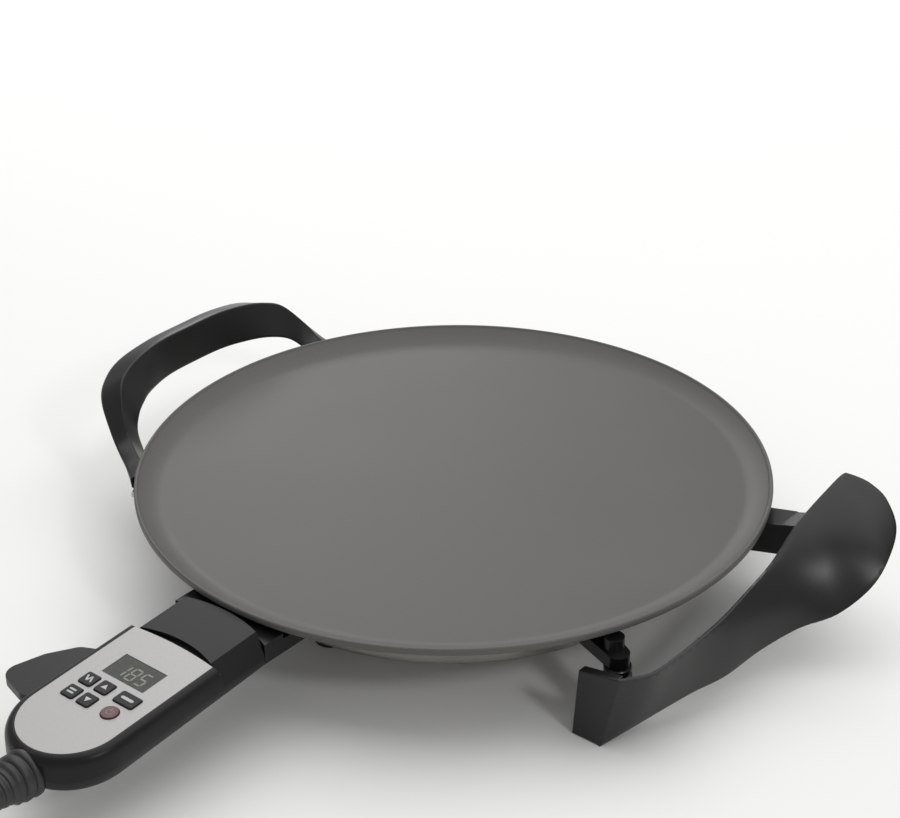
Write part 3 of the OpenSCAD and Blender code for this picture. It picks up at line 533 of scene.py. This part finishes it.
# turned pieces: a profile spun round its axis with Geometry Nodes
def turnedTree():
    tree = bpy.data.node_groups.new("turnedPiece", "GeometryNodeTree")
    for name, side, kind in (("Profile", "INPUT", "Geometry"), ("Steps", "INPUT", "Int"),
                             ("Material", "INPUT", "Material"), ("Geometry", "OUTPUT", "Geometry")):
        tree.interface.new_socket(name, in_out=side, socket_type="NodeSocket" + kind)
    given = addNode(tree, "NodeGroupInput")
    count = addNode(tree, "GeometryNodeAttributeDomainSize", {"Geometry": given.outputs["Profile"]})
    around = addNode(tree, "ShaderNodeMath", {0: given.outputs["Steps"], 1: 1.0}, operation="ADD")
    grid = addNode(tree, "GeometryNodeMeshGrid", {
        "Vertices X": count.outputs["Point Count"], "Vertices Y": around.outputs[0]})
    index = addNode(tree, "GeometryNodeInputIndex")
    ring = addNode(tree, "ShaderNodeMath", {0: index.outputs[0], 1: around.outputs[0]}, operation="DIVIDE")
    along = addNode(tree, "ShaderNodeMath", {0: ring.outputs[0]}, operation="FLOOR")
    step = addNode(tree, "ShaderNodeMath", {0: index.outputs[0], 1: around.outputs[0]}, operation="MODULO")
    share = addNode(tree, "ShaderNodeMath", {0: step.outputs[0], 1: given.outputs["Steps"]},
                    operation="DIVIDE")
    angle = addNode(tree, "ShaderNodeMath", {0: share.outputs[0], 1: math.tau}, operation="MULTIPLY")
    place = addNode(tree, "GeometryNodeInputPosition")
    picked = addNode(tree, "GeometryNodeSampleIndex", {"Geometry": given.outputs["Profile"]},
                     data_type="FLOAT_VECTOR")
    tree.links.new(place.outputs[0], picked.inputs["Value"])
    tree.links.new(along.outputs[0], picked.inputs["Index"])
    turned = addNode(tree, "ShaderNodeVectorRotate", {
        "Vector": picked.outputs[0], "Angle": angle.outputs[0]}, rotation_type="Z_AXIS")
    shaped = addNode(tree, "GeometryNodeSetPosition", {
        "Geometry": grid.outputs["Mesh"], "Position": turned.outputs[0]})
    merged = addNode(tree, "GeometryNodeMergeByDistance", {
        "Geometry": shaped.outputs[0], "Distance": 0.004 * mm})
    coated = addNode(tree, "GeometryNodeSetMaterial", {
        "Geometry": merged.outputs[0], "Material": given.outputs["Material"]})
    result = addNode(tree, "NodeGroupOutput")
    tree.links.new(coated.outputs[0], result.inputs["Geometry"])
    return tree


spinner = turnedTree()


def bakeNodes(name, source, tree, values, sharpAngle=40, turn=None):
    # runs the tree on the source object and keeps only a plain mesh
    modifier = source.modifiers.new("nodes", "NODES")
    modifier.node_group = tree
    for item in tree.interface.items_tree:
        if item.item_type == "SOCKET" and item.in_out == "INPUT" and item.name in values:
            modifier[item.identifier] = values[item.name]
    bpy.context.view_layer.update()
    reach = bpy.context.evaluated_depsgraph_get()
    mesh = bpy.data.meshes.new_from_object(source.evaluated_get(reach))
    source.modifiers.remove(modifier)
    bpy.data.objects.remove(source)
    if turn:
        mesh.transform(turn)
    tidyMesh(mesh, sharpAngle, 0.001)
    mesh.name = name
    piece = bpy.data.objects.new(name, mesh)
    scene.collection.objects.link(piece)
    return piece


def turnedPiece(name, profile, steps, material, sharpAngle=40, turn=None):
    points = [Vector((radius, 0, height)) * mm for radius, height in profile]
    line = bpy.data.meshes.new(name + "Profile")
    line.from_pydata(points, [(i, i + 1) for i in range(len(points) - 1)], [])
    source = bpy.data.objects.new(name + "Profile", line)
    scene.collection.objects.link(source)
    return bakeNodes(name, source, spinner, {"Steps": steps, "Material": material}, sharpAngle, turn)


def arcPoints(centre, radius, startDegrees, endDegrees, steps):
    angles = [math.radians(startDegrees + (endDegrees - startDegrees) * i / steps) for i in range(steps + 1)]
    return [(centre[0] + radius * math.cos(a), centre[1] + radius * math.sin(a)) for a in angles]


# griddle plate
plateLow, plateHigh = (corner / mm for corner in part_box("griddle_plate"))
plate = {
    "radius": plateHigh.x,
    "lipWidth": 15.0,
    "lipHeight": plateHigh.z,
    "lipRise": 1.6,  # power of the lip's curve
    "lipSteps": 16,
    "rollRadius": 1.15,
    "crestInset": 1.3,
    "thickness": -plateLow.z,
    "steps": 240,
}


def plateProfile(values):
    r, h, bottom = values["radius"], values["lipHeight"], -values["thickness"]
    flat = r - values["lipWidth"] - 2
    crest = r - values["crestInset"]
    # the lip rises in one curve from the flat to the rolled rim
    lip = []
    for i in range(1, values["lipSteps"] + 1):
        t = i / values["lipSteps"]
        lip.append((flat + (crest - 1.1 - flat) * t, (h - 0.75) * t ** values["lipRise"]))
    roll = arcPoints((crest, h - values["rollRadius"]), values["rollRadius"], 140, -10, 8)
    # the outer edge turns under and runs back to the flat bottom
    under = [(r - 0.06, h - 2.4), (r - 0.15, h - 3.4), (r - 0.9, h - 4.3), (r - 2.4, h - 5.1),
             (flat + 3, bottom + 0.6), (flat - 1, bottom), (0, bottom)]
    return [(0, 0), (flat * 0.5, 0), (flat - 2, 0), (flat, 0.02)] + lip + roll + under


griddlePlate = turnedPiece("griddlePlate", plateProfile(plate), plate["steps"],
                           finishes["nonstick_coating"], 60)
settle(griddlePlate, "griddle_plate", ["griddle_plate"])
print("plate made")

# base pan, feet and pads
finishedCopy("base_pan", 0, sharpAngle=50)
# width of the eased edge in mm, its segments and the bend where easing starts
fittingEdges = {
    "pan_feet": (0.6, 3, 35),
    "foot_pads": (0.6, 3, 35),
    "socket_guard": (0.8, 3, 30),
    "leg_arm_near": (0.8, 3, 30),
    "leg_arm_far": (0.8, 3, 30),
    "loop_brackets": (0.8, 3, 30),
}
for fitting, easing in fittingEdges.items():
    finishedCopy(fitting, *easing)
print("pan and fittings made")

# leg handle
legHandle = {
    "wall": 7.0,
    "facesAcross": 14,
    "stepsBetween": 6,
    "edge": 1.3,
    "edgeShare": 0.3,  # thickness of the wall at its top edge, as a share of the rest
    # top edge, lower edge, bulge of the outer face; X from the rim, Z from the cooking surface
    "stations": [
        [[3, -97, -8], [-10, -95, -58], 0],
        [[13, -82, -8], [-2, -79, -52], 1.5],
        [[15, -62, -8], [6, -62, -46], 2],
        [[15, -40, -7.5], [13, -42, -42], 2.5],
        [[15, -18, -6], [20, -20, -40], 3],
        [[15, 5, -1], [25.5, 4.5, -34.5], 3.5],
        [[15, 30, 6], [35, 29, -28.5], 4],
        [[14, 55, 18], [49.5, 45.5, -21.5], 4],
        [[14, 72, 24], [60, 62, -8], 4],
        [[15, 85, 28.5], [61, 78, 4], 3.5],
        [[15.5, 94, 31], [55, 95, 14], 2.5],
        [[16, 99, 32], [42, 104, 24], 1.5],
        [[17, 101, 32.5], [30, 105.5, 29], 0.6],
    ],
}
rimRadius = 190.0


def legRing(station, values):
    top = Vector(station[0]) + Vector((rimRadius, 0, 0))
    low = Vector(station[1]) + Vector((rimRadius, 0, 0))
    along = Vector((low.x - top.x, 0, low.z - top.z)).normalized()
    out = Vector((-along.z, 0, along.x))
    middle = (top + low) / 2 + 2 * station[2] * out
    count = values["facesAcross"]
    face = []
    for k in range(count + 1):
        t = k / count
        face.append((1 - t) ** 2 * top + 2 * t * (1 - t) * middle + t * t * low)
    back = []
    for k in range(count, -1, -1):
        share = min(1, values["edgeShare"] + 2 * k / count)
        back.append(face[k] - values["wall"] * share * out)
    return face + back


def makeLegHandle(values):
    rings = [legRing(s, values) for s in smoothList(values["stations"], values["stepsBetween"])]
    points, faces = loft(rings)
    piece = meshPiece("legHandle", points, faces, finishes["phenolic"], 50)
    addBevel(piece, values["edge"], 4, 40)
    settle(piece, "leg_handle", ["leg_handle"], sharpAngle=60)


def makeLegFoot(values):
    # end wall and floor of the open foot, and the stepped boss under the near arm
    wall = [(x, y + shift, z) for shift in (0, values["endWall"]) for x, y, z in values["endCorners"]]
    hullPiece("legFootWall", wall, finishes["phenolic"], values["wallEdge"], "leg_handle")
    x, y = values["bossAt"]
    ring = arcPoints((x, y), values["bossRound"], 90, 270, 18)
    floor = [(*p, z) for z in values["floorHeights"] for p in values["floorCorners"] + ring]
    hullPiece("legFootFloor", floor, finishes["phenolic"], values["floorEdge"], "leg_handle")
    boss = turnedPiece("legFootBoss", values["bossProfile"], values["bossSteps"], finishes["phenolic"], 30,
                       Matrix.Translation(Vector((x, y, 0)) * mm))
    settle(boss, "leg_handle")


legFoot = {
    "endWall": 6.0,
    "wallEdge": 1.0,
    "floorEdge": 0.8,
    "bossSteps": 64,
    "endCorners": [(161, -95, -57.9), (178.5, -95, -57.9), (191.5, -97, -8.2), (166, -97, -13)],
    "bossAt": (176, -75),
    "bossRound": 10.0,
    "floorHeights": (-36, -30),
    "floorCorners": [(164, -93), (182, -93), (197, -60), (192, -60)],
    "bossProfile": [(0, -36), (7.9, -36), (7.9, -30.5), (8.9, -30), (9.2, -29.2), (8.6, -28.6), (7.4, -28.2),
                    (7.2, -27), (7.9, -26.4), (8, -23), (7.6, -22.2), (6.9, -21.8), (6.9, -20.6), (7.6, -20),
                    (7.8, -17.6), (7.3, -17), (0, -17)],
}
makeLegHandle(legHandle)
makeLegFoot(legFoot)
print("leg handle made")

# loop handle
loopHandle = {
    "innerFace": rimRadius + 30.0,
    "cuts": (0.08, 0.1, 0.3, 0.2),  # how much of each side a corner's rounding takes
    "cornerSteps": 6,
    "stepsBetween": 8,
    # inner top, inner bottom, outer bottom and outer top corner, from the middle of the grip to its end
    "stations": [
        [[3, 0, 31], [0, 0, 6], [11, 0, 4], [16.5, 0, 28]],
        [[2.5, 25, 31], [-2, 25, 6.5], [10, 26, 4], [16.5, 27, 27.5]],
        [[-0.5, 45, 30], [-8, 46, 6], [6, 50, 3], [16, 54, 23.5]],
        [[-4, 61, 27], [-14, 58, 5], [-1, 66, 1], [11, 71, 17.5]],
        [[-10, 73, 22], [-19.5, 68, 1.5], [-11, 78, -3], [1, 83, 11.5]],
        [[-21, 83, 8], [-25, 75, -6], [-24, 88, -10], [-16, 92, 0]],
        [[-32, 88, -4], [-36, 80, -15.8], [-36, 94, -16], [-30, 98, -8.5]],
        [[-48, 96, -7.5], [-50, 88, -16], [-49, 106, -16], [-47, 107, -8.5]],
        [[-62, 103, -7.5], [-64, 95, -16], [-61, 115, -16], [-60, 115, -8]],
    ],
}


def roundedRing(corners, cuts, steps):
    ring = []
    for c, corner in enumerate(corners):
        before, after = corners[c - 1], corners[(c + 1) % len(corners)]
        start, end = corner + (before - corner) * cuts[c], corner + (after - corner) * cuts[c]
        for k in range(steps + 1):
            t = k / steps
            ring.append((1 - t) ** 2 * start + 2 * t * (1 - t) * corner + t * t * end)
    return ring


def makeLoopHandle(values):
    half = values["stations"]
    mirrored = [[[p[0], -p[1], p[2]] for p in station] for station in reversed(half[1:])]
    rings = []
    for station in smoothList(mirrored + half, values["stepsBetween"]):
        corners = [Vector((-values["innerFace"] - p[0], p[1], p[2])) for p in station]
        rings.append(roundedRing(corners, values["cuts"], values["cornerSteps"]))
    points, faces = loft(rings)
    piece = meshPiece("loopHandle", points, faces, finishes["phenolic"], 60)
    settle(piece, "loop_handle", ["loop_handle"])


makeLoopHandle(loopHandle)
print("loop handle made")

# controller
# as for the fittings, and for the housings the bend where shading turns sharp
controllerEdges = {
    "controller_cover": (0.5, 3, 28, 32),
    "controller_base": (0.5, 3, 28, 32),
    "front_panel": (0.18, 2, 40),
    "display_window": (0.15, 2, 40),
    "release_lever": (1.2, 4, 40),
    "up_key": (0.45, 3, 40),
    "down_key": (0.45, 3, 40),
    "mode_key": (0.45, 3, 40),
    "set_key": (0.45, 3, 40),
    "timer_key": (0.45, 3, 40),
    "power_key": (0.45, 3, 40),
}
for shell, easing in controllerEdges.items():
    finishedCopy(shell, *easing)

# the sloping face that carries the panel, the display and the keys
face = {"y": -231.0, "z": 2.0, "tilt": 3.4, "keyTop": 0.9, "inkThickness": 0.05}


def facePoint(x, y, lift):
    tilt = math.radians(face["tilt"])
    return (x, face["y"] + y * math.cos(tilt) - lift * math.sin(tilt),
            face["z"] + y * math.sin(tilt) + lift * math.cos(tilt))


def printedPiece(name, outlines, lift, material, node):
    # thin flat shapes printed on the face; each outline is a convex polygon of face coordinates
    points, faces = [], []
    for outline in outlines:
        base, count = len(points), len(outline)
        points += [facePoint(x, y, lift) for x, y in outline]
        points += [facePoint(x, y, lift + face["inkThickness"]) for x, y in outline]
        faces.append(tuple(base + count + k for k in range(count)))
        faces.append(tuple(base + k for k in reversed(range(count))))
        for k in range(count):
            m = (k + 1) % count
            faces.append((base + k, base + m, base + count + m, base + count + k))
    return settle(meshPiece(name, points, faces, material, 20), node)


def stroke(ends, width):
    # a bar of this width from one point to the next, with pointed ends like a display's segments
    a, b = Vector(ends[0]), Vector(ends[1])
    along = (b - a).normalized()
    side = Vector((-along.y, along.x)) * width / 2
    tip = along * width / 2
    return [tuple(p) for p in (a, a + tip - side, b - tip - side, b, b - tip + side, a + tip + side)]


def moved(outline, x, y):
    return [(u + x, v + y) for u, v in outline]


# seven-segment digits of the display: which bars each digit lights
display = {
    "middle": (0.5, -29.0),
    "windowEdge": -19.0,  # the window's end nearest the griddle
    "digit": (4.6, 9.4),
    "pitch": 7.4,
    "bar": 1.0,
    "gap": 0.2,
    "lean": 0.08,
    "lift": 0.02,
    "lit": ["bc", "abcdefg", "acdfg"],
}


def digitBars(lit, width, height, gap):
    w, h = width / 2, height / 2
    ends = {"a": ((-w, h), (w, h)), "b": ((w, h), (w, 0)), "c": ((w, 0), (w, -h)), "d": ((-w, -h), (w, -h)),
            "e": ((-w, 0), (-w, -h)), "f": ((-w, h), (-w, 0)), "g": ((-w, 0), (w, 0))}
    bars = []
    for key in lit:
        a, b = (Vector(p) for p in ends[key])
        inset = (b - a).normalized() * gap
        bars.append(stroke((a + inset, b - inset), display["bar"]))
    return bars


def makeDisplay(values):
    shapes = []
    x, y = values["middle"]
    for i, lit in enumerate(values["lit"]):
        for bar in digitBars(lit, *values["digit"], values["gap"]):
            leaning = [(u + v * values["lean"], v) for u, v in bar]
            shapes.append(moved(leaning, x + (i - 1) * values["pitch"], y))
    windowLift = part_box("display_window")[1].z / mm - facePoint(0, values["windowEdge"], 0)[2]
    printedPiece("displayDigits", shapes, min(windowLift, 0) + values["lift"], segments, "display_window")


def ringMark(radius, width, firstAngle, lastAngle, stepAngle, barAngle):
    # a ring of short bars, open at the top
    marks = []
    for start in range(firstAngle, lastAngle, stepAngle):
        turns = [math.radians(a) for a in (start, start + barAngle)]
        marks.append(stroke([(radius * math.sin(a), radius * math.cos(a)) for a in turns], width))
    return marks


# marks printed on the keys, round each key's own middle
keyMarks = {
    "up_key": ((-3.2, -45.4), [[(-2.0, -1.3), (2.0, -1.3), (0, 2.0)]]),
    "down_key": ((-3.2, -57.6), [[(-2.0, 1.3), (0, -2.0), (2.0, 1.3)]]),
    "mode_key": ((-15, -45.4), [stroke(((-2.6, 2.2), (-0.4, -2.2)), 1.0),
                                stroke(((-0.6, -2.2), (0.8, 2.2)), 1.0),
                                stroke(((0.6, 2.2), (2.6, -2.2)), 1.0)]),
    "set_key": ((-15, -57.6), [stroke(((-2.6, 1.2), (2.4, 1.2)), 1.2),
                               stroke(((-2.4, -1.2), (2.6, -1.2)), 1.2)]),
    "timer_key": ((13.7, -45.4), [stroke(((-4.6, 0), (4.6, 0)), 1.9)]),
    "power_key": ((13.7, -57.6), [stroke(((0, 0.4), (0, 2.6)), 0.6)] + ringMark(1.9, 0.5, 36, 320, 20, 24)),
}


def makeKeyMarks(values):
    for node, (middle, outlines) in values.items():
        shapes = [moved(outline, *middle) for outline in outlines]
        material = segments if node == "power_key" else ink
        printedPiece(node + "Mark", shapes, face["keyTop"], material, node)


makeDisplay(display)
makeKeyMarks(keyMarks)

relief = {
    "at": (0, -332, -18),
    "length": 53.0,
    "steps": 72,
    # radius and distance along: the collar and two fat rings
    "head": [(0, 0), (12.7, 0), (13.3, 0.8), (13.4, 3.4), (12.9, 4.4), (11.9, 4.9), (11.8, 5.8), (12.8, 6.5),
             (12.9, 9.2), (12.4, 10.2), (11.2, 10.7), (11.1, 11.6), (11.9, 12.2), (11.9, 13.8), (11.2, 14.6),
             (10.4, 15.2)],
    "ribs": 9,
    "ribDepth": 0.8,
    # where each rib's crest and groove begin and end, as a share of its length
    "crest": (0.12, 0.5),
    "groove": (0.62, 0.95),
    "tip": 4.9,
    "hole": 3.7,
}


def reliefProfile(values):
    base, start = values["head"][-1]
    span = values["length"] - start
    ribs = []
    for i in range(values["ribs"]):
        for depth, parts in ((0, values["crest"]), (values["ribDepth"], values["groove"])):
            for part in parts:
                share = (i + part) / values["ribs"]
                ribs.append((base + (values["tip"] - base) * share - depth, start + span * share))
    return values["head"] + ribs + [(values["hole"], values["length"]), (0, values["length"])]


onController = Matrix.Translation(Vector(relief["at"]) * mm) @ Matrix.Rotation(math.pi / 2, 4, "X")
strainRelief = turnedPiece("strainRelief", reliefProfile(relief), relief["steps"],
                           finishes[slotOf["strain_relief"]], 50, onController)
settle(strainRelief, "strain_relief", ["strain_relief"])
print("controller made")


# light and floor
studio = {
    "floorHeight": -58.0,
    "floorColour": "#f4f4f2",
    "worldColour": "#ffffff",
    "worldStrength": 0.42,
    "floorReach": 6000.0,
    # metres and watts: where each lamp stands, what it faces, its size and its power
    "lamps": {
        "softboxTop": ((-0.3, 0.9, 2.6), (0, 0.2, 0), (4.4, 4.0), 74),
        "softboxBack": ((-1.9, 1.7, 0.95), (0, 0, 0), (0.9, 0.6), 10),
        "softboxRight": ((1.35, -0.45, 1.05), (0.22, -0.05, 0), (0.2, 0.2), 3.6),
    },
}


def areaLight(name, spot, aim, size, power):
    data = bpy.data.lights.new(name, "AREA")
    data.shape = "RECTANGLE"
    data.size, data.size_y = size
    data.energy = power
    lamp = bpy.data.objects.new(name, data)
    lamp.matrix_world = (Matrix.Translation(Vector(spot))
                         @ (Vector(aim) - Vector(spot)).to_track_quat("-Z", "Y").to_matrix().to_4x4())
    scene.collection.objects.link(lamp)


def makeStudio(values):
    world = bpy.data.worlds.new("studioAir")
    world.use_nodes = True
    air = world.node_tree.nodes["Background"]
    air.inputs["Color"].default_value = hexColour(values["worldColour"])
    air.inputs["Strength"].default_value = values["worldStrength"]
    scene.world = world
    corners = [(x * values["floorReach"], y * values["floorReach"], values["floorHeight"])
               for x, y in ((-1, -1), (1, -1), (1, 1), (-1, 1))]
    paper = startMaterial("paperSweep", values["floorColour"], 0.9)[0]
    meshPiece("studioFloor", corners, [(0, 1, 2, 3)], paper)
    for name, settings in values["lamps"].items():
        areaLight(name, *settings)
    scene.view_settings.view_transform = "Standard"


makeStudio(studio)
print("studio made")
